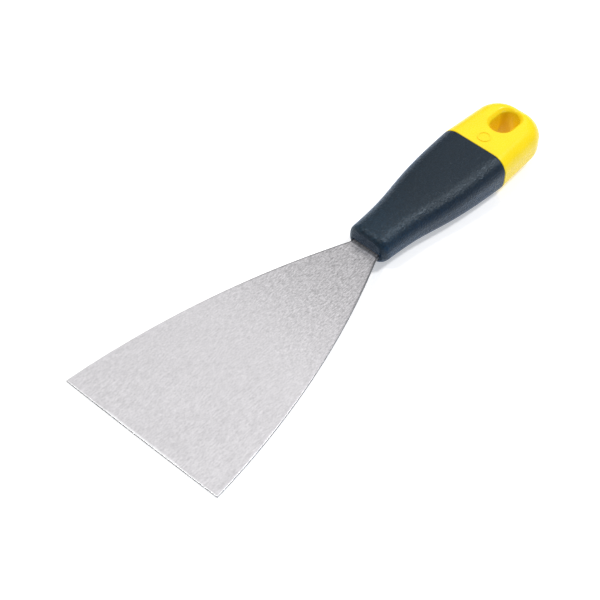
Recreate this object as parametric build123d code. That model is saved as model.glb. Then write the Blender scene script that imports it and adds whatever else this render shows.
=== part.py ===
"""Filling and taping knife, 75 mm wide: a ground steel blade moulded into a two-colour handle.

Units are millimetres and degrees. +X points at the working edge, +Y runs across the blade and
+Z is up. The blade lies flat, parallel to XY. Each piece is drawn with the handle nose, where
the blade leaves it, at X = 0 and the blade's middle plane at Z = 0. At the end all pieces are
moved together, so that the origin is at the centre of the knife's bounding box in X and Y and
level with its lowest point.
"""

import os

from build123d import *

# ---- blade ----
blade_length = 123.0  # handle nose to working edge
edge_width = 75.0
edge_thickness = 0.7
edge_crown = 0.2  # how far the middle of the working edge stands out past its corners
side_radius = 385.0  # plan radius of the two long sides
corner_radius = 0.3
neck_width = 13.2
neck_thickness = 1.6
neck_length = 1.6  # straight stretch in front of the nose, before the faces are ground
grind_length = 0.6  # the short slope from the neck's full thickness to the ground faces
grind_depth = 0.08  # how much lower than the neck each ground face starts

# ---- tang, the hidden end of the blade ----
tang_width = 10.0
tang_length = 58.0  # handle nose to tang end
tang_end_radius = 4.0
tang_hole_diameter = 4.5
tang_hole_count = 2
shoulder_depth = 1.5  # how far the neck's full width runs into the nose slot

# ---- handle ----
grip_length = 66.7  # nose to the seam between grip and butt
butt_length = 32.0  # seam to the end of the handle
nose_width = 19.2
nose_thickness = 13.2
butt_width = 32.1
butt_thickness = 17.7
butt_taper = 4.2  # how much narrower the butt is at its end face than at the seam
butt_corner_radius = 12.0  # plan radius of the two end corners
nose_side_radius = 5.6  # radius of the long edges at the nose
butt_side_radius = 7.0  # radius of the long edges from the seam on
nose_edge_radius = 2.8  # rounding between the nose face and the long faces
handle_pitch = 1.6  # the butt droops by this angle from the blade's plane
nose_rise = 1.5  # height of the nose's centre above the blade's plane

# ---- grip, the soft sleeve over the core ----
grip_wall = 2.5
nose_wall = 3.0  # grip material in front of the core
slot_side_gap = 0.7  # between the neck and each end of the nose slot
slot_face_gap = 0.25  # between the neck and each face of the nose slot
seam_radius = 0.6  # rounded rear edge of the grip
butt_lip_radius = 0.3  # rounded front edge of the butt

# ---- ribs on the core that stop the grip from creeping ----
rib_height = 1.0
rib_length = 4.0
rib_count = 2

# ---- hanging hole ----
hole_length = 14.0
hole_width = 9.2
hole_flare = 1.4  # depth and reach of the sloping mouth
hole_end_margin = 4.2  # mouth to the end of the butt

# ---- plain ring marked on the butt's top, midway between the seam and the hole's mouth ----
mark_share = 0.5  # the ring's diameter as a share of the space there
mark_line_width = 0.4
mark_depth = 0.25

# The grip's shape from the nose back to the seam. Each station gives its share of the grip's
# length, and how much of the change from the nose's width and thickness to the butt's it has made.
GRIP_STATIONS = (
    (0.00, 0.00, 0.00),
    (0.17, 0.08, 0.13),
    (0.33, 0.25, 0.29),
    (0.50, 0.55, 0.50),
    (0.72, 0.83, 0.77),
    (1.00, 1.00, 1.00),
)

# The largest radius that the long edges may have, as a share of the thickness that they round.
ROUNDING_LIMIT = 0.47

seam_x = -grip_length
butt_end_x = seam_x - butt_length
butt_top_z = butt_thickness / 2
mouth_length = hole_length + 2 * hole_flare
mouth_width = hole_width + 2 * hole_flare
mouth_front_x = butt_end_x + hole_end_margin + mouth_length


def between(low, high, share):
    return low + (high - low) * share


def long_edge_radius(radius, thickness):
    """The radius of the handle's long edges, kept to what the thickness has room for."""
    return min(radius, ROUNDING_LIMIT * thickness)


def slab(x_back, x_front):
    """A block between two X values, larger than any section of the handle."""
    size = 2 * butt_width
    return Pos((x_back + x_front) / 2, 0, 0) * Box(x_front - x_back, size, size)


def edges_at(solid, x):
    """The edges of a solid that lie in the plane across the handle at x."""
    return solid.edges().filter_by_position(Axis.X, x - 0.01, x + 0.01)


def set_on_blade(piece):
    """Moves a handle piece from the handle's own straight axis to its place on the blade."""
    return Pos(0, 0, nose_rise) * Rot(0, -handle_pitch, 0) * piece


def make_blade():
    half_edge = edge_width / 2
    half_neck = neck_width / 2
    corner_x = blade_length - edge_crown
    with BuildSketch() as plan:
        with BuildLine():
            side = RadiusArc((neck_length, half_neck), (corner_x, half_edge), side_radius)
            edge = ThreePointArc(side @ 1, (blade_length, 0), (corner_x, -half_edge))
            other = RadiusArc(edge @ 1, (neck_length, -half_neck), side_radius)
            Polyline(
                other @ 1,
                (-shoulder_depth, -half_neck),
                (-shoulder_depth, half_neck),
                side @ 0,
            )
        make_face()
        fillet(plan.vertices().sort_by(Axis.X)[-2:], corner_radius)
    upper_side = [
        (-shoulder_depth, neck_thickness / 2),
        (neck_length, neck_thickness / 2),
        (neck_length + grind_length, neck_thickness / 2 - grind_depth),
        (blade_length, edge_thickness / 2),
    ]
    lower_side = [(x, -z) for x, z in reversed(upper_side)]
    side_view = Polygon(*upper_side, *lower_side, align=None)
    across = extrude(Plane.XZ * side_view, edge_width, both=True)
    return (extrude(plan.sketch, neck_thickness, both=True) & across) + make_tang()


def make_tang():
    """The narrow end inside the handle, with holes that the moulded core fills."""
    length = tang_length - shoulder_depth
    outline = Pos(-shoulder_depth - length / 2, 0) * Rectangle(length, tang_width)
    outline = fillet(outline.vertices().sort_by(Axis.X)[:2], tang_end_radius)
    tang = extrude(outline, neck_thickness / 2, both=True)
    for index in range(tang_hole_count):
        hole_x = -shoulder_depth - length * (index + 1) / (tang_hole_count + 1)
        tang -= Pos(hole_x, 0, 0) * Cylinder(tang_hole_diameter / 2, 2 * neck_thickness)
    return tang


def grip_form(inset):
    """The solid shape of the handle from nose to seam, with its long faces moved in by inset."""
    sections = []
    for along, widening, thickening in GRIP_STATIONS:
        width = between(nose_width, butt_width, widening)
        height = between(nose_thickness, butt_thickness, thickening)
        radius = between(nose_side_radius, butt_side_radius, along)
        radius = long_edge_radius(radius, height)
        outline = RectangleRounded(width - 2 * inset, height - 2 * inset, radius - inset)
        across = Plane(origin=(seam_x * along, 0, 0), x_dir=(0, 1, 0), z_dir=(1, 0, 0))
        sections.append(across * outline)
    return loft(sections)


def make_stem():
    """The slim front of the core, inside the grip, with ribs that key into the grip."""
    stem = grip_form(grip_wall) & slab(seam_x, -nose_wall)
    rib_form = grip_form(grip_wall - rib_height)
    stem_length = grip_length - nose_wall
    for index in range(rib_count):
        rib_x = -nose_wall - stem_length * (index + 1) / (rib_count + 1)
        stem += rib_form & slab(rib_x - rib_length / 2, rib_x + rib_length / 2)
    return stem


def make_butt():
    """The full-size rear end of the core, with the hanging hole and the ring mark."""
    end_width = butt_width - butt_taper
    plan = Polygon(
        (seam_x, butt_width / 2),
        (butt_end_x, end_width / 2),
        (butt_end_x, -end_width / 2),
        (seam_x, -butt_width / 2),
        align=None,
    )
    corner = min(butt_corner_radius, ROUNDING_LIMIT * end_width)
    plan = fillet(plan.vertices().sort_by(Axis.X)[:2], corner)
    butt = extrude(plan, butt_thickness / 2, both=True)
    rims = butt.edges().filter_by(Axis.Z, reverse=True) - edges_at(butt, seam_x)
    butt = fillet(rims, long_edge_radius(butt_side_radius, butt_thickness))
    butt = fillet(edges_at(butt, seam_x), butt_lip_radius)
    return butt - hanging_hole() - ring_mark()


def hanging_hole():
    """The obround hole through the butt, with a sloping mouth at each face."""
    hole = extrude(SlotOverall(hole_length, hole_width), butt_thickness, both=True)
    mouth_outline = Pos(0, 0, butt_top_z) * SlotOverall(mouth_length, mouth_width)
    mouth = extrude(mouth_outline, hole_flare, dir=(0, 0, -1), taper=45)
    return Pos(mouth_front_x - mouth_length / 2, 0, 0) * (hole + mouth + mirror(mouth, Plane.XY))


def ring_mark():
    outer = mark_share * (seam_x - mouth_front_x) / 2
    ring = Circle(outer) - Circle(outer - mark_line_width)
    centre_x = (seam_x + mouth_front_x) / 2
    return Pos(centre_x, 0, butt_top_z - mark_depth) * extrude(ring, 2 * mark_depth)


def make_handle_core(stem, blade):
    return set_on_blade(make_butt() + stem) - blade


def make_grip_sleeve(stem):
    grip = grip_form(0)
    grip = fillet(edges_at(grip, 0), nose_edge_radius)
    grip = fillet(edges_at(grip, seam_x), seam_radius)
    slot_width = neck_width + 2 * slot_side_gap
    slot_height = neck_thickness + 2 * slot_face_gap
    slot = Box(4 * nose_wall, slot_width, slot_height)
    slot &= set_on_blade(slab(-nose_wall, nose_wall))
    return set_on_blade(grip - stem) - slot


def main():
    blade = make_blade()
    stem = make_stem()
    pieces = {
        "blade": blade,
        "handle_core": make_handle_core(stem, blade),
        "grip_sleeve": make_grip_sleeve(stem),
    }
    box = Compound(children=[piece.solid() for piece in pieces.values()]).bounding_box()
    to_origin = Pos(-box.center().X, -box.center().Y, -box.min.Z)
    os.makedirs("parts", exist_ok=True)
    for name, piece in pieces.items():
        export_step(to_origin * piece, f"parts/{name}.step")


main()
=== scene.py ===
"""Looks of the taping knife: a ground steel blade in a two-colour handle, on a pale studio floor.

Lengths are millimetres until they leave this script, and MM turns them into metres. The blade is
drawn from the handle's nose, where X = 0, with its middle plane at Z = 0. The handle is drawn on
its own straight axis from the same nose, and then set on the blade at its pitch.
"""

import math

import bmesh
import bpy
import numpy as np
from mathutils import Matrix, Vector


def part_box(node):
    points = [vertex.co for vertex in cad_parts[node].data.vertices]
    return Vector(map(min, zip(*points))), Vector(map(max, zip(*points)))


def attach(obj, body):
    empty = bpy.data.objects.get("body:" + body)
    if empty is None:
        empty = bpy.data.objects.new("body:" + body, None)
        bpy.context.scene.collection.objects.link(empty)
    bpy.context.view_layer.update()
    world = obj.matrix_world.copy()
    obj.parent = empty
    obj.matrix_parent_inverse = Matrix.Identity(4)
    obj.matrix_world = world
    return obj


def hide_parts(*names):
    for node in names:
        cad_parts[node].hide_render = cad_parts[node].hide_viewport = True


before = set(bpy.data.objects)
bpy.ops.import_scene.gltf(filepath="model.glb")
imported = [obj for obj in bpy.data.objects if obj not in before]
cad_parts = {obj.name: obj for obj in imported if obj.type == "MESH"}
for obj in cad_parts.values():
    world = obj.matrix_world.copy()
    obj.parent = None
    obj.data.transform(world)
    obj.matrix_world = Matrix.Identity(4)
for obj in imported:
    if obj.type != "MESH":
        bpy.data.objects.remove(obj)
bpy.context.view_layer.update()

MM = 0.001

# ---- sizes that the CAD model has too ----
blade_length = 123.0
edge_width = 75.0
edge_thickness = 0.7
edge_crown = 0.2
side_radius = 385.0
corner_radius = 0.3
neck_width = 13.2
neck_thickness = 1.6
neck_length = 1.6
grind_length = 0.6
grind_depth = 0.08
tang_width = 10.0
tang_length = 58.0
tang_end_radius = 4.0
shoulder_depth = 1.5

grip_length = 66.7
butt_length = 32.0
nose_width = 19.2
nose_thickness = 13.2
butt_width = 32.1
butt_thickness = 17.7
butt_taper = 4.2
butt_corner_radius = 12.0
nose_side_radius = 5.6
butt_side_radius = 7.0
nose_edge_radius = 2.8
handle_pitch = 1.6
nose_rise = 1.5

grip_wall = 2.5
nose_wall = 3.0
slot_side_gap = 0.7
slot_face_gap = 0.25
seam_radius = 0.6
butt_lip_radius = 0.3
rib_height = 1.0
rib_length = 4.0
rib_count = 2

hole_length = 14.0
hole_width = 9.2
hole_flare = 1.4
hole_end_margin = 4.2

mark_share = 0.5
mark_line_width = 0.4
mark_depth = 0.25

# Share of the grip's length, and how much of its widening and thickening is done there.
GRIP_STATIONS = (
    (0.00, 0.00, 0.00),
    (0.17, 0.08, 0.13),
    (0.33, 0.25, 0.29),
    (0.50, 0.55, 0.50),
    (0.72, 0.83, 0.77),
    (1.00, 1.00, 1.00),
)

# ---- small shapes and borders that only the looks need ----
grip_crown = 0.2  # share of its thickness that the grip's nose loses from the middle to the sides
arris = 0.12  # on the blade's long edges and working edge
slot_arris = 0.25  # where the slot meets the nose face
slot_corner = 0.4  # radius of the slot's corners
mouth_arris = 0.35  # where the hanging hole's mouth meets the flat faces
throat_arris = 0.6  # where the mouth meets the straight hole
throat_share = 0.4  # share of the mouth's slope that this rounding takes up
rim_inset = 2.6  # from the butt's outline in to where the loops start to cross its upper surface
stem_clearance = 0.02  # between the core's stem and the sleeve
side_border = 0.6  # width of the ground faces' border along the blade's sides
edge_border = 0.55  # width of their border along the working edge, which gets the painted highlight
border_change = 0.55 * blade_length  # where along the blade the side border turns from painted shade to painted highlight
border_highlight = 0.6  # how strong the border's painted highlight is, from 0 to 1

# ---- how finely the meshes are divided ----
BLADE_RING = (3, 28, 2)  # steps for the arcs, the long sides and the short sides
BLADE_STEPS = 60
ARC_STEPS = 10
LONG_STEPS = 16
SHORT_STEPS = 4
GRIP_RING = (ARC_STEPS, LONG_STEPS, SHORT_STEPS)
GRIP_STEPS = 64
ROUND_STEPS = 7
STEM_POINTS = 8  # rings along each plain stretch of the stem
FRONT_STEPS = 36  # across the seam face
LIP_STEPS = 5  # of them at each end, over the lip
SIDE_STEPS = 24
CORNER_STEPS = 12  # for half of an end corner
END_STEPS = 8  # for half of the flat end
RIM_POINTS = 10  # loops round the butt's rim
FACE_STEPS = 17  # from the hole's mouth out to the rim
HOLE_STEPS = 4  # from the throat down to the middle of the hole
MARK_STEPS = 96  # round the ring mark
BISECTIONS = 30  # halvings that find how far out the hole's mouth meets the upper surface

seam_x = -grip_length
butt_end_x = seam_x - butt_length
butt_top_z = butt_thickness / 2
mouth_length = hole_length + 2 * hole_flare
mouth_front_x = butt_end_x + hole_end_margin + mouth_length
hole_x = mouth_front_x - mouth_length / 2
BUTT_SLOPE = butt_taper / 2 / butt_length
BUTT_LEAN = math.atan(BUTT_SLOPE)

blade_low, blade_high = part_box("blade")
NOSE = Vector((blade_high.x - blade_length * MM, 0, (blade_low.z + blade_high.z) / 2))
BLADE_PLACE = Matrix.Translation(NOSE) @ Matrix.Scale(MM, 4)
TILT = Matrix.Rotation(math.radians(-handle_pitch), 4, "Y")
HANDLE_PLACE = BLADE_PLACE @ Matrix.Translation((0, 0, nose_rise)) @ TILT


# ======================= mesh helpers =======================


def quarter(steps):
    """Angles from 0 to a right angle."""
    return np.linspace(0, math.pi / 2, steps + 1)


def rounded_rectangle(width, height, radius, ring_steps, border=0):
    """Points (across, up) round a rectangle with round corners, anticlockwise. A border puts the first
    and the last point of the long sides that far from the corners."""
    arc_steps, long_steps, short_steps = ring_steps
    half_width = width / 2 - radius
    half_height = height / 2 - radius
    corners = ((1, 1), (-1, 1), (-1, -1), (1, -1))
    points = []
    for index, (side, up) in enumerate(corners):
        for angle in quarter(arc_steps) + index * math.pi / 2:
            across = side * half_width + radius * math.cos(angle)
            points.append((across, up * half_height + radius * math.sin(angle)))
        next_side, next_up = corners[(index + 1) % 4]
        steps = long_steps if index % 2 == 0 else short_steps
        start = points[-1]
        turn = (index + 1) * math.pi / 2
        end_across = next_side * half_width + radius * math.cos(turn)
        end_up = next_up * half_height + radius * math.sin(turn)
        shares = np.linspace(0, 1, steps + 1)[1:-1]
        if border and index % 2 == 0:
            near = border / (2 * half_width)
            shares = np.linspace(near, 1 - near, steps - 1)
        for share in shares:
            points.append(
                (start[0] + (end_across - start[0]) * share, start[1] + (end_up - start[1]) * share)
            )
    return points


def strip_faces(row_a, row_b):
    """Quads between two closed rows of vertex numbers."""
    count = len(row_a)
    return [
        (row_a[i], row_a[(i + 1) % count], row_b[(i + 1) % count], row_b[i]) for i in range(count)
    ]


def ring_shell(rings):
    """Points and faces of the closed surface that runs through all the rings and back to the first."""
    rings = [np.asarray(ring, float) for ring in rings]
    count = len(rings[0])
    rows = [range(i * count, (i + 1) * count) for i in range(len(rings))]
    faces = []
    for i in range(len(rings)):
        faces += strip_faces(rows[i], rows[(i + 1) % len(rings)])
    return np.concatenate(rings), faces


def tube_shell(rings):
    """Points and faces of a tube through the rings, closed at both ends by a flat face."""
    points, faces = ring_shell(rings)
    count = len(rings[0])
    faces = faces[: count * (len(rings) - 1)]
    first = tuple(range(count))
    last = tuple(range(len(points) - count, len(points)))
    return points, faces + [first[::-1], last]


def joined(*shells):
    """Several shells as one list of points and one of faces."""
    points, faces, start = [], [], 0
    for shell_points, shell_faces in shells:
        points.append(np.asarray(shell_points, float))
        faces += [tuple(index + start for index in face) for face in shell_faces]
        start += len(shell_points)
    return np.concatenate(points), faces


def new_piece(name, shell, place, sharp_angle=32):
    """A smooth-shaded mesh object from points in millimetres, put in place in the row frame."""
    points, faces = shell
    mesh = bpy.data.meshes.new(name)
    mesh.from_pydata([place @ Vector(point) for point in points], [], faces)
    work = bmesh.new()
    work.from_mesh(mesh)
    bmesh.ops.remove_doubles(work, verts=work.verts, dist=2e-7)
    bmesh.ops.dissolve_degenerate(work, edges=work.edges, dist=1e-8)
    bmesh.ops.recalc_face_normals(work, faces=work.faces)
    work.to_mesh(mesh)
    work.free()
    mesh.shade_smooth()
    mesh.set_sharp_from_angle(angle=math.radians(sharp_angle))
    piece = bpy.data.objects.new(name, mesh)
    bpy.context.scene.collection.objects.link(piece)
    return piece


def cut_away(piece, cutter):
    """Takes the cutter's volume out of the piece for good."""
    modifier = piece.modifiers.new("cut", "BOOLEAN")
    modifier.operation = "DIFFERENCE"
    modifier.solver = "EXACT"
    modifier.object = cutter
    bpy.context.view_layer.update()
    cut = bpy.data.meshes.new_from_object(piece.evaluated_get(bpy.context.evaluated_depsgraph_get()))
    piece.modifiers.clear()
    piece.data = cut
    bpy.data.objects.remove(cutter)


def even_normals(piece):
    """Large flat faces keep their own normal, and the small roundings take up the turn."""
    modifier = piece.modifiers.new("even normals", "WEIGHTED_NORMAL")
    modifier.keep_sharp = True
    modifier.weight = 60


def point_values(piece, name, value_at):
    """A number on every vertex, worked out from its place in the drawing of the blade."""
    to_drawing = BLADE_PLACE.inverted()
    layer = piece.data.attributes.new(name, "FLOAT", "POINT")
    values = [value_at(to_drawing @ vertex.co) for vertex in piece.data.vertices]
    layer.data.foreach_set("value", values)


# ======================= blade =======================


def side_y(x):
    """Half of the blade's width at x, along the round side."""
    if x <= neck_length:
        return neck_width / 2
    near = np.array((neck_length, neck_width / 2))
    far = np.array((blade_length - edge_crown, edge_width / 2))
    chord = far - near
    half = np.hypot(*chord) / 2
    outward = np.array((-chord[1], chord[0])) / (2 * half)
    centre = (near + far) / 2 - outward * math.sqrt(side_radius**2 - half**2)
    return centre[1] + math.sqrt(side_radius**2 - (x - centre[0]) ** 2)


def half_thickness(x):
    """Half of the blade's thickness at x, with the short slope where the ground faces start."""
    ground_half = neck_thickness / 2 - grind_depth
    return float(
        np.interp(
            x,
            (neck_length, neck_length + grind_length, blade_length),
            (neck_thickness / 2, ground_half, edge_thickness / 2),
        )
    )


def blade_section(x, back_off):
    """The ring across the blade at x. Back_off is the distance left to the working edge."""
    into_corner = max(corner_radius - back_off, 0)
    corner_cut = corner_radius - math.sqrt(corner_radius**2 - into_corner**2)
    into_arris = max(arris - back_off, 0)
    thinner = arris - math.sqrt(arris**2 - into_arris**2)
    half_width = side_y(x) - corner_cut
    half_height = half_thickness(x) - thinner
    radius = min(arris, half_height * 0.95)
    across = []
    section = rounded_rectangle(2 * half_width, 2 * half_height, radius, BLADE_RING, side_border)
    for y, z in section:
        bow = edge_crown * (1 - (y / (edge_width / 2)) ** 2) * x / blade_length
        across.append((x + bow * (x > neck_length), y, z))
    return across


def make_blade():
    """The blade, with more rings where it turns into the neck and the working edge."""
    front_x = blade_length - edge_crown
    grind_end = neck_length + grind_length
    places = [-shoulder_depth, 0.0, neck_length - 0.2, neck_length, grind_end, grind_end + 0.2]
    places += list(np.linspace(grind_end, front_x - 2, BLADE_STEPS)[1:])
    places += [front_x - step for step in (1.0, 0.5, 0.3, 0.24, 0.17, 0.12, 0.08, 0.04, 0.015, 0.0)]
    rings = [blade_section(x, front_x - x) for x in places]
    shell = joined(tube_shell(rings), make_tang_shell())
    blade = new_piece("ground_blade", shell, BLADE_PLACE)
    point_values(blade, "cut_edge", cut_edge_share)
    point_values(blade, "side_shade", side_shade)
    point_values(blade, "edge_highlight", edge_highlight)
    return blade


def make_tang_shell():
    """The hidden end of the blade inside the handle."""
    places = [(-shoulder_depth - 0.001, tang_width), (-tang_length + tang_end_radius, tang_width)]
    for angle in quarter(6)[1:]:
        x = -tang_length + tang_end_radius * (1 - math.sin(angle))
        places.append((x, tang_width - 2 * tang_end_radius * (1 - math.cos(angle))))
    rings = []
    for x, width in places:
        section = rounded_rectangle(width, neck_thickness, arris, BLADE_RING)
        rings.append([(x, y, z) for y, z in section])
    return tube_shell(rings)


def cut_edge_share(point):
    """1 on the blade's narrow cut faces and 0 on its broad ground faces."""
    below_face = half_thickness(point.x) - abs(point.z)
    return min(max((below_face - 0.3 * arris) / (0.5 * arris), 0), 1)


def on_side(point):
    """Whether a vertex is on the blade's side, so that its value fades out across the border."""
    return side_y(max(point.x, 0.0)) - abs(point.y) < 2 * arris


def side_shade(point):
    """How much painted shade the ground face gets at its side borders: most by the neck, none from
    border_change on.
    """
    return on_side(point) * min(max(1 - point.x / border_change, 0), 1)


def edge_highlight(point):
    """How much painted highlight the ground face gets at its borders: along the working edge and the sides
    near it.
    """
    if blade_length - point.x < edge_border:
        return border_highlight
    return on_side(point) * border_highlight * min(max(point.x / border_change - 1, 0), 1)


# ======================= handle =======================


def spline_through(places, values, at):
    """A natural cubic spline through the values, read at one place."""
    places = np.asarray(places, float)
    values = np.asarray(values, float)
    step = np.diff(places)
    slope = np.diff(values) / step
    count = len(places)
    matrix = np.eye(count)
    right = np.zeros(count)
    for i in range(1, count - 1):
        matrix[i, i - 1 : i + 2] = step[i - 1], 2 * (step[i - 1] + step[i]), step[i]
        right[i] = 6 * (slope[i] - slope[i - 1])
    bend = np.linalg.solve(matrix, right)
    i = int(np.clip(np.searchsorted(places, at) - 1, 0, count - 2))
    after, before = at - places[i], places[i + 1] - at
    cubic = (bend[i] * before**3 + bend[i + 1] * after**3) / (6 * step[i])
    left = (values[i] / step[i] - bend[i] * step[i] / 6) * before
    return cubic + left + (values[i + 1] / step[i] - bend[i + 1] * step[i] / 6) * after


def grip_ring(x, inset):
    """The ring across the grip at x, with its faces moved in by inset."""
    along = min(max(x / seam_x, 0), 1)
    places, widening, thickening = zip(*GRIP_STATIONS)
    width = nose_width + (butt_width - nose_width) * spline_through(places, widening, along)
    thicker = spline_through(places, thickening, along)
    height = nose_thickness + (butt_thickness - nose_thickness) * thicker
    radius = nose_side_radius + (butt_side_radius - nose_side_radius) * along - inset
    section = rounded_rectangle(width - 2 * inset, height - 2 * inset, radius, GRIP_RING)
    crown = grip_crown * (1 - along) / (width / 2) ** 2
    return np.array([(x, y, z * (1 - crown * y**2)) for y, z in section])


def slot_ring(x, grow=0.0):
    """The ring of the blade's slot through the nose wall, at x on the handle's axis."""
    width = neck_width + 2 * slot_side_gap + 2 * grow
    height = neck_thickness + 2 * slot_face_gap + 2 * grow
    section = rounded_rectangle(width, height, slot_corner + grow, GRIP_RING)
    lift = -nose_rise / math.cos(math.radians(handle_pitch)) - x * math.tan(math.radians(handle_pitch))
    return np.array([(x, y, z + lift) for y, z in section])


def rib_stretches():
    """The stretches of the stem, nose side first, that its ribs take up."""
    stem_length = grip_length - nose_wall
    centres = [-nose_wall - stem_length * (i + 1) / (rib_count + 1) for i in range(rib_count)]
    return [(x + rib_length / 2, x - rib_length / 2) for x in centres]


def stem_rings(clearance):
    """Rings along the core's stem from the seam to its front, with the ribs standing out."""
    deep, shallow = grip_wall + clearance, grip_wall - rib_height + clearance
    rings = []
    x_now = seam_x
    for front, back in reversed(rib_stretches()):
        rings += [grip_ring(x, deep) for x in np.linspace(x_now, back, STEM_POINTS)]
        rings += [grip_ring(x, shallow) for x in (back, front)]
        x_now = front
    rings += [grip_ring(x, deep) for x in np.linspace(x_now, -nose_wall, STEM_POINTS)]
    return rings


def make_grip():
    """The sleeve: nose face, long faces, rounded rear edge, and the cavity that the stem fills."""
    rings = [slot_ring(-nose_wall), slot_ring(-slot_arris)]
    for angle in quarter(3)[1:]:
        rings.append(slot_ring(-slot_arris * (1 - math.sin(angle)), slot_arris * (1 - math.cos(angle))))
    slot_mouth, inner_nose = rings[-1], grip_ring(0, nose_edge_radius)
    for share in (0.3, 0.6, 0.85):
        rings.append(slot_mouth * (1 - share) + inner_nose * share)
    for angle in quarter(ROUND_STEPS):
        x = -nose_edge_radius * (1 - math.cos(angle))
        rings.append(grip_ring(x, nose_edge_radius * (1 - math.sin(angle))))
    long_faces = np.linspace(-nose_edge_radius, seam_x + seam_radius, GRIP_STEPS)[1:]
    rings += [grip_ring(x, 0) for x in long_faces]
    for angle in quarter(5)[1:]:
        x = seam_x + seam_radius * (1 - math.sin(angle))
        rings.append(grip_ring(x, seam_radius * (1 - math.cos(angle))))
    rings += stem_rings(0.0)
    return new_piece("soft_grip", ring_shell(rings), HANDLE_PLACE, 40)


def make_stem():
    """The slim front of the core, kept a hair inside the sleeve and a little way into the butt."""
    rings = stem_rings(stem_clearance)
    inside_butt = grip_ring(seam_x, grip_wall + stem_clearance) + np.array((-1.0, 0, 0))
    return tube_shell([inside_butt, *rings[1:]])


def butt_side_y(x, inset=0.0):
    """Half of the butt's width at x, with its side moved in by inset."""
    return butt_width / 2 + (x - seam_x) * BUTT_SLOPE - inset / math.cos(BUTT_LEAN)


def butt_corner(inset=0.0):
    """The centre and radius of the butt's end corner on the +Y side."""
    radius = butt_corner_radius - inset
    centre_x = butt_end_x + inset + radius
    return centre_x, butt_side_y(centre_x, inset) - radius / math.cos(BUTT_LEAN), radius


def butt_plan(inset, front_x):
    """The butt's closed outline with three of its sides moved in by inset, in four runs of points:
    the front, one side with half of its corner, the end with the other halves, and the other side."""
    centre_x, centre_y, radius = butt_corner(inset)
    start = math.pi / 2 + BUTT_LEAN
    split = (start + math.pi) / 2

    def on_corner(angle):
        return centre_x + radius * math.cos(angle), centre_y + radius * math.sin(angle)

    front_y = butt_side_y(front_x, inset)
    front = [(front_x, y) for y in np.linspace(-front_y, front_y, FRONT_STEPS + 1)[:-1]]
    tangent = on_corner(start)
    side_x = np.linspace(front_x, tangent[0], SIDE_STEPS + 1)[:-1]
    side = list(zip(side_x, np.linspace(front_y, tangent[1], SIDE_STEPS + 1)[:-1]))
    side += [on_corner(angle) for angle in np.linspace(start, split, CORNER_STEPS + 1)[:-1]]
    end = [on_corner(angle) for angle in np.linspace(split, math.pi, CORNER_STEPS + 1)[:-1]]
    end += [(butt_end_x + inset, y) for y in np.linspace(centre_y, 0, END_STEPS + 1)[:-1]]
    mirrored = [(x, -y) for x, y in reversed(side[1:] + end)]
    return np.array(front + side + end + [(butt_end_x + inset, 0.0)] + mirrored)


def butt_inset(x, y):
    """How far a point of the butt's plan is inside its outline, with the seam side left out."""
    centre_x, centre_y, radius = butt_corner()
    from_side = (butt_side_y(x) - abs(y)) * math.cos(BUTT_LEAN)
    across = math.atan2(abs(y) - centre_y, x - centre_x)
    if math.pi / 2 + BUTT_LEAN < across <= math.pi:
        return radius - math.hypot(x - centre_x, abs(y) - centre_y)
    return min(from_side, x - butt_end_x)


def butt_top(x, y):
    """Height of the butt's upper surface: flat, and rounded down towards its outline."""
    short = max(butt_side_radius - butt_inset(x, y), 0)
    return butt_top_z - butt_side_radius + math.sqrt(butt_side_radius**2 - short**2)


def on_butt_top(plan):
    """The points of a plan, lifted onto the butt's upper surface."""
    return np.array([(x, y, butt_top(x, y)) for x, y in plan])


def hole_plan(reach):
    """The hole's outline moved out by reach at each point, with as many points as the butt's outline.
    Its four runs are the round front, one long side, the round end and the other long side."""
    side_count = SIDE_STEPS + CORNER_STEPS
    end_count = 2 * (CORNER_STEPS + END_STEPS)
    counts = (FRONT_STEPS, side_count, end_count, side_count)
    reach = np.broadcast_to(reach, (sum(counts),))
    points = []
    for run, count in enumerate(counts):
        for step in range(count):
            radius = hole_width / 2 + reach[len(points)]
            points.append(stadium_point(radius, run, step / count))
    return np.array(points) + np.array((hole_x, 0.0))


def stadium_point(radius, run, share):
    """A point of an obround: runs 0 and 2 cross its round ends, and 1 and 3 go along its sides."""
    straight = (hole_length - hole_width) / 2
    eighth = math.pi / 4
    if run % 2 == 0:
        angle = (2 * run - 1) * eighth + 2 * eighth * share
        centre = straight if run == 0 else -straight
        return centre + radius * math.cos(angle), radius * math.sin(angle)
    arc_length = radius * eighth
    distance = share * (2 * arc_length + 2 * straight)
    if distance < arc_length:
        angle = eighth + distance / radius
        x, y = straight + radius * math.cos(angle), radius * math.sin(angle)
    elif distance < arc_length + 2 * straight:
        x, y = straight - (distance - arc_length), radius
    else:
        angle = 2 * eighth + (distance - arc_length - 2 * straight) / radius
        x, y = -straight + radius * math.cos(angle), radius * math.sin(angle)
    return (x, y) if run == 1 else (-x, -y)


def turn_between(start, corner, end, steps=5):
    """Loops that leave the start loop towards the corner loop and curve over to the end loop."""
    return [start * (1 - s) ** 2 + 2 * corner * s * (1 - s) + end * s**2 for s in np.linspace(0, 1, steps)]


def mouth_reach():
    """How far out the hole's 45 degree mouth meets the butt's upper surface, at each point."""
    low = np.zeros(len(hole_plan(0)))
    high = low + 2 * hole_flare
    for _ in range(BISECTIONS):
        middle = (low + high) / 2
        above = butt_top_z - hole_flare + middle > on_butt_top(hole_plan(middle))[:, 2]
        high = np.where(above, middle, high)
        low = np.where(above, low, middle)
    return low


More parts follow.
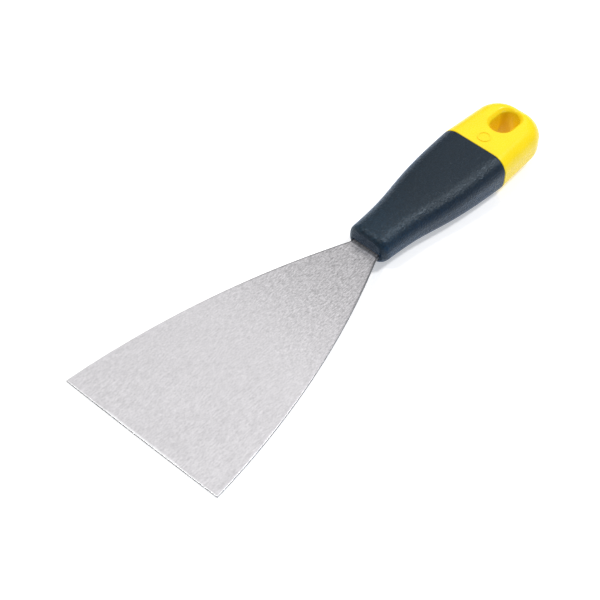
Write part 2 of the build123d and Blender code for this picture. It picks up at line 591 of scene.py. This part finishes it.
def hole_loops():
    """Loops from the butt's upper surface over the mouth's edge and down to the middle of the hole."""
    reach = mouth_reach()
    mouth = on_butt_top(hole_plan(reach))
    throat_plan = hole_plan(0)
    throat = np.column_stack([throat_plan, np.full(len(throat_plan), butt_top_z - hole_flare)])
    outside = on_butt_top(hole_plan(reach + mouth_arris))
    slope_length = np.linalg.norm(throat - mouth, axis=1)[:, None]
    down_slope = mouth + (throat - mouth) * mouth_arris / slope_length
    loops = turn_between(outside, mouth, down_slope)
    before_throat = throat + (mouth - throat) * throat_share
    after_throat = throat - np.array((0, 0, throat_arris))
    loops += turn_between(before_throat, throat, after_throat)
    depths = np.linspace(butt_top_z - hole_flare - throat_arris, 0, HOLE_STEPS + 1)[1:]
    return loops + [np.column_stack([throat_plan, np.full(len(throat_plan), z)]) for z in depths]


def butt_level(angle, lip_limit=None):
    """One closed loop round the butt where its rim faces up by angle. Its front turns over the lip and
    runs across the seam face, or with a lip_limit it follows the lip only as far as that angle."""
    inset = butt_side_radius * (1 - math.cos(angle))
    height = butt_top_z - butt_side_radius * (1 - math.sin(angle))
    front_x = seam_x - butt_lip_radius
    plan = butt_plan(inset, front_x)
    loop = np.column_stack([plan, np.full(len(plan), height)])
    edge_y = butt_side_y(front_x, inset)
    for step in range(FRONT_STEPS + 1):
        to_edge = min(step, FRONT_STEPS - step)
        side = -1 if step < FRONT_STEPS / 2 else 1
        beta = math.pi / 2 * min(to_edge / LIP_STEPS, 1)
        inward = max(to_edge - LIP_STEPS, 0) / (FRONT_STEPS / 2 - LIP_STEPS)
        y, z, facing = edge_y * (1 - inward), height, angle
        if lip_limit is not None:
            beta = min(beta, lip_limit)
            z = butt_top(front_x, y)
            short = butt_side_radius - butt_inset(front_x, y)
            facing = math.acos(min(max(short, 0) / butt_side_radius, 1))
        sunk = butt_lip_radius * (1 - math.cos(beta))
        y, z = y - sunk * math.cos(facing), z - sunk * math.sin(facing)
        loop[step] = (front_x + butt_lip_radius * math.sin(beta), side * y, z)
    return loop


def make_butt_shell():
    """The butt as loops up through its hole, over the upper surface, down its sides and back below."""
    top_angle = math.acos(1 - rim_inset / butt_side_radius)
    rim = [butt_level(top_angle, limit) for limit in quarter(4)]
    rim += [butt_level(angle) for angle in np.linspace(top_angle, 0, RIM_POINTS)]
    inner = hole_loops()
    shares = np.linspace(0, 1, FACE_STEPS + 1)[1:-1]
    face = [on_butt_top((inner[0] * (1 - share) + rim[0] * share)[:, :2]) for share in shares]
    half = inner[::-1] + face + rim
    lower = [loop * np.array((1, 1, -1)) for loop in reversed(half[1:])]
    return ring_shell(half + lower)


def make_mark_cutter():
    """A ring with sloping walls, which cuts the plain round mark into the butt's top."""
    outer = mark_share * (seam_x - mouth_front_x) / 2
    inner = outer - mark_line_width
    centre = np.array(((seam_x + mouth_front_x) / 2, 0.0, butt_top_z))
    slope = 0.25 * mark_line_width
    profile = (
        (outer + slope, mark_depth),
        (inner - slope, mark_depth),
        (inner + slope, -mark_depth),
        (outer - slope, -mark_depth),
    )
    rings = []
    for angle in np.linspace(0, 2 * math.pi, MARK_STEPS, endpoint=False):
        radial = np.array((math.cos(angle), math.sin(angle), 0.0))
        rings.append([centre + radial * reach + np.array((0, 0, height)) for reach, height in profile])
    return new_piece("mark_cutter", ring_shell(rings), HANDLE_PLACE)


def make_core():
    """The yellow butt with its hanging hole and ring mark, and the stem inside the grip."""
    core = new_piece("moulded_core", joined(make_butt_shell(), make_stem()), HANDLE_PLACE, 40)
    cut_away(core, make_mark_cutter())
    core.data.shade_smooth()
    core.data.set_sharp_from_angle(angle=math.radians(40))
    return core


# ======================= materials =======================

WHITE = (1, 1, 1, 1)
GROUND_STEEL = (0.66, 0.64, 0.65)
PAINTED_SIDE_SHADE = (0.03, 0.032, 0.036, 1)
CUT_FACE_SHADE = (0.14, 0.14, 0.145, 1)
DARK_PLASTIC = (0.002, 0.007, 0.012)
GLOSS_BLUE_REFLECTION = (0.75, 0.88, 1.0, 1)
SHEEN_BLUE_REFLECTION = (0.02, 0.4, 1.0, 1)
YELLOW_PLASTIC = (0.94, 0.665, 0.010)
PALE_FLOOR = (0.72, 0.715, 0.71)


class Shader:
    """A node material with one Principled shader, built up by short calls."""

    def __init__(self, name):
        self.material = bpy.data.materials.new(name)
        self.material.use_nodes = True
        self.tree = self.material.node_tree
        self.shader = self.tree.nodes["Principled BSDF"]

    def node(self, kind, **settings):
        node = self.tree.nodes.new(kind)
        for key, value in settings.items():
            setattr(node, key, value)
        return node

    def link(self, source, target):
        self.tree.links.new(source, target)

    def feed(self, socket, value):
        """Gives a socket either a link or a constant."""
        if isinstance(value, bpy.types.NodeSocket):
            self.link(value, socket)
        else:
            socket.default_value = value

    def set(self, name, value):
        self.feed(self.shader.inputs[name], value)

    def place(self, scale):
        """Object coordinates, scaled to features of the given size in millimetres."""
        coordinates = self.node("ShaderNodeTexCoord")
        mapping = self.node("ShaderNodeMapping")
        mapping.inputs["Scale"].default_value = [1 / (size * MM) for size in scale]
        self.link(coordinates.outputs["Object"], mapping.inputs["Vector"])
        return mapping.outputs["Vector"]

    def noise(self, scale, detail=2.0, roughness=0.5):
        noise = self.node("ShaderNodeTexNoise")
        noise.inputs["Scale"].default_value = 1.0
        noise.inputs["Detail"].default_value = detail
        noise.inputs["Roughness"].default_value = roughness
        self.link(self.place(scale), noise.inputs["Vector"])
        return noise.outputs["Fac"]

    def remap(self, value, low, high, to_low, to_high):
        """A value between low and high, smoothly stretched to run from to_low to to_high."""
        remap = self.node("ShaderNodeMapRange", interpolation_type="SMOOTHSTEP")
        self.feed(remap.inputs["Value"], value)
        ends = {"From Min": low, "From Max": high, "To Min": to_low, "To Max": to_high}
        for name, number in ends.items():
            self.feed(remap.inputs[name], number)
        return remap.outputs["Result"]

    def math(self, operation, first, second):
        node = self.node("ShaderNodeMath", operation=operation)
        self.feed(node.inputs[0], first)
        self.feed(node.inputs[1], second)
        return node.outputs[0]

    def mix(self, share, first, second):
        node = self.node("ShaderNodeMix", data_type="RGBA")
        self.feed(node.inputs["Factor"], share)
        self.feed(node.inputs["A"], first)
        self.feed(node.inputs["B"], second)
        return node.outputs["Result"]

    def tint(self, colour, factor):
        """A colour made lighter or darker by a number."""
        node = self.node("ShaderNodeVectorMath", operation="SCALE")
        self.feed(node.inputs[0], colour)
        self.feed(node.inputs["Scale"], factor)
        return node.outputs["Vector"]

    def attribute(self, name):
        return self.node("ShaderNodeAttribute", attribute_name=name).outputs["Fac"]

    def along(self):
        """The object coordinate along the knife, in metres, rising towards the working edge."""
        coordinates = self.node("ShaderNodeTexCoord")
        split = self.node("ShaderNodeSeparateXYZ")
        self.link(coordinates.outputs["Object"], split.inputs["Vector"])
        return split.outputs["X"]

    def bump(self, height, distance, strength=1.0):
        bump = self.node("ShaderNodeBump")
        bump.inputs["Strength"].default_value = strength
        bump.inputs["Distance"].default_value = distance * MM
        self.link(height, bump.inputs["Height"])
        self.link(bump.outputs["Normal"], self.shader.inputs["Normal"])


def steel_material():
    """Ground steel, streaked along the knife, with painted shade that darkens it at the neck and on
    its cut edges. Across the neck, a darker band and a light line are painted reflection of the nose and
    its lit rim."""
    steel = Shader("ground_steel")
    streaks = steel.noise((2.4, 0.5, 0.5), detail=3, roughness=0.6)
    fine = steel.noise((0.8, 0.4, 0.4), detail=2)
    from_nose = steel.math("SUBTRACT", steel.along(), NOSE.x)
    spread = steel.remap(from_nose, 0.0, 80 * MM, 1.4, 0.5)
    uneven = steel.math("SUBTRACT", steel.math("ADD", streaks, fine), 1.0)
    light = steel.math("ADD", 1.0, steel.math("MULTIPLY", uneven, spread))
    # Painted shade: the steel's colour falls by about a third from mid-blade to the neck.
    light = steel.math("MULTIPLY", light, steel.remap(from_nose, -5 * MM, 70 * MM, 0.68, 1.0))
    # Painted reflection across the neck: a darker band where the dark nose is mirrored, then a light line
    # where its lit rim is mirrored.
    step = neck_length * MM
    light = steel.math("MULTIPLY", light, steel.remap(from_nose, 0.9 * step, 1.1 * step, 0.8, 1.25))
    light = steel.math("MULTIPLY", light, steel.remap(from_nose, 1.4 * step, 1.7 * step, 1.0, 0.8))
    face = steel.tint(GROUND_STEEL, light)
    # Painted shade along the blade's sides, strongest by the neck.
    face = steel.mix(steel.attribute("side_shade"), face, PAINTED_SIDE_SHADE)
    # Painted highlight: white mixed in along the working edge and the sides near it.
    face = steel.mix(steel.attribute("edge_highlight"), face, WHITE)
    cut = steel.attribute("cut_edge")
    # Painted shade: the narrow cut faces are darker than the ground faces.
    steel.set("Base Color", steel.mix(cut, face, CUT_FACE_SHADE))
    steel.set("Metallic", 0.85)
    roughness = steel.remap(streaks, 0.3, 0.7, 0.36, 0.46)
    steel.set("Roughness", steel.math("ADD", roughness, steel.remap(cut, 0, 1, 0, 0.1)))
    grain = steel.math("ADD", streaks, steel.math("MULTIPLY", fine, 0.4))
    steel.bump(grain, 0.02, 0.6)
    return steel.material


def grip_material():
    """Soft dark blue-grey plastic with a fine stipple, and painted light that makes it a little paler
    towards the nose. Its blue sheen and gloss tint are painted reflection.
    """
    grip = Shader("soft_dark_plastic")
    stipple = grip.noise((0.7, 0.7, 0.7), detail=2, roughness=0.6)
    patches = grip.noise((9, 9, 9), detail=3)
    from_nose = grip.math("SUBTRACT", NOSE.x, grip.along())
    light = grip.remap(patches, 0.3, 0.7, 0.92, 1.08)
    light = grip.math("MULTIPLY", light, grip.remap(stipple, 0.38, 0.62, 0.6, 1.45))
    # Painted light: the base colour is made paler towards the nose.
    light = grip.math("MULTIPLY", light, grip.remap(from_nose, 0.0, 34 * MM, 1.9, 0.9))
    grip.set("Base Color", grip.tint(DARK_PLASTIC, light))
    grip.set("Roughness", grip.remap(stipple, 0.38, 0.62, 0.46, 0.28))
    grip.set("Specular IOR Level", 0.42)
    # Painted reflection: the blue specular tint and blue sheen stand in for a blue surround mirrored at
    # grazing angles.
    grip.set("Specular Tint", GLOSS_BLUE_REFLECTION)
    grip.set("Sheen Weight", 0.22)
    grip.set("Sheen Roughness", 0.4)
    grip.set("Sheen Tint", SHEEN_BLUE_REFLECTION)
    grip.bump(stipple, 0.3, 1.0)
    return grip.material


def yellow_material():
    """Hard glossy yellow plastic, very slightly uneven where it was moulded."""
    yellow = Shader("hard_yellow_plastic")
    waves = yellow.noise((7, 7, 7), detail=2)
    dust = yellow.noise((0.5, 0.5, 0.5), detail=2)
    light = yellow.remap(waves, 0.3, 0.7, 0.98, 1.02)
    yellow.set("Base Color", yellow.tint(YELLOW_PLASTIC, light))
    yellow.set("Roughness", yellow.remap(dust, 0.3, 0.7, 0.22, 0.30))
    yellow.set("Specular IOR Level", 0.3)
    yellow.bump(waves, 0.02, 0.3)
    return yellow.material


def floor_material():
    """A pale floor that glows a little, which keeps the knife's shadow faint."""
    floor = Shader("pale_floor")
    mottle = floor.noise((60, 60, 60), detail=3)
    floor.set("Base Color", floor.tint(PALE_FLOOR, floor.remap(mottle, 0.3, 0.7, 0.99, 1.0)))
    floor.set("Roughness", 0.8)
    floor.set("Specular IOR Level", 0.2)
    floor.set("Emission Color", WHITE)
    floor.set("Emission Strength", 0.45)
    return floor.material


def finish(piece, material, node):
    """Gives a piece its material and its place in the part."""
    piece.data.materials.clear()
    piece.data.materials.append(material)
    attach(piece, "root")
    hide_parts(node)


# ======================= studio =======================

LIGHT_DISTANCE = 1.2  # metres from a point on the blade
FLOOR_REACH = 4.0  # metres from the floor's middle to its sides
FLOOR_GAP = 0.05  # millimetres below the knife
WORLD_COLOUR = (0.93, 0.96, 1.0, 1)
WORLD_STRENGTH = 0.2
LOW_FILL_BLUE = (0.0, 0.35, 1.0)
CAMERA_ANGLES = (40.16, 49.39, 2.12)  # azimuth, elevation and roll in degrees
CAMERA_DISTANCE = 713.2
CAMERA_LENS = 114
CAMERA_FILM = 36  # width of the film that the lens length goes with


def blade_point(x, y, z):
    """A point of the blade's drawing, in metres in the row frame."""
    return BLADE_PLACE @ Vector((x, y, z))


def make_floor():
    """The knife lies on its working edge and on the handle's underside at the seam, so the floor that it
    lies on slopes a little against the blade."""
    edge = blade_point(blade_length, 0, -edge_thickness / 2)
    heel = HANDLE_PLACE @ Vector((seam_x, 0, -butt_top_z))
    slope = math.atan2(edge.z - heel.z, edge.x - heel.x)
    corners = [(FLOOR_REACH * x, FLOOR_REACH * y, 0) for x, y in ((-1, -1), (1, -1), (1, 1), (-1, 1))]
    mesh = bpy.data.meshes.new("floor")
    mesh.from_pydata(corners, [], [(0, 1, 2, 3)])
    mesh.materials.append(floor_material())
    floor = bpy.data.objects.new("floor", mesh)
    floor.location = heel - Vector((0, 0, FLOOR_GAP * MM))
    floor.rotation_euler = (0, -slope, 0)
    bpy.context.scene.collection.objects.link(floor)


def make_softbox(name, direction, size, power, colour=(1, 1, 1)):
    """A rectangular area light that shines on the blade from a direction. Its size is in metres."""
    light = bpy.data.lights.new(name, "AREA")
    light.shape = "RECTANGLE"
    light.size, light.size_y = size
    light.energy = power
    light.color = colour
    softbox = bpy.data.objects.new(name, light)
    middle = blade_point(20, 0, 0)
    ray = Vector(direction).normalized()
    softbox.location = middle + ray * LIGHT_DISTANCE
    softbox.rotation_euler = ray.to_track_quat("Z", "Y").to_euler()
    bpy.context.scene.collection.objects.link(softbox)


def make_world():
    """A dim, even surround."""
    world = bpy.data.worlds.new("studio")
    world.use_nodes = True
    background = world.node_tree.nodes["Background"]
    background.inputs["Color"].default_value = WORLD_COLOUR
    background.inputs["Strength"].default_value = WORLD_STRENGTH
    bpy.context.scene.world = world


def make_camera():
    """The photograph's viewing angle."""
    azimuth, elevation, roll = (math.radians(angle) for angle in CAMERA_ANGLES)
    target = blade_point(36.6, -1.3, 0)
    back = Vector(
        (
            math.cos(azimuth) * math.cos(elevation),
            math.sin(azimuth) * math.cos(elevation),
            math.sin(elevation),
        )
    )
    level_right = Vector((-math.sin(azimuth), math.cos(azimuth), 0))
    level_up = back.cross(level_right)
    right = level_right * math.cos(roll) + level_up * math.sin(roll)
    up = back.cross(right)
    data = bpy.data.cameras.new("camera")
    data.lens = CAMERA_LENS
    data.sensor_width = CAMERA_FILM
    camera = bpy.data.objects.new("camera", data)
    turn = Matrix((right, up, back)).transposed().to_4x4()
    camera.matrix_world = Matrix.Translation(target + back * CAMERA_DISTANCE * MM) @ turn
    bpy.context.scene.collection.objects.link(camera)
    bpy.context.scene.camera = camera


finish(make_blade(), steel_material(), "blade")
finish(make_grip(), grip_material(), "grip_sleeve")
core = make_core()
even_normals(core)
finish(core, yellow_material(), "handle_core")

make_floor()
make_world()
make_softbox("overhead", (-0.50, -0.42, 0.76), (1.2, 1.2), 3.3)
make_softbox("key", (0.34, -0.30, 0.89), (0.22, 0.22), 7)
make_softbox("ridge", (-0.50, 0.27, 0.82), (0.18, 0.18), 8.5)
make_softbox("low_fill", (0.10, 0.97, 0.22), (0.8, 0.2), 3.2, LOW_FILL_BLUE)
make_camera()
bpy.context.scene.view_settings.view_transform = "Standard"

bpy.context.view_layer.update()
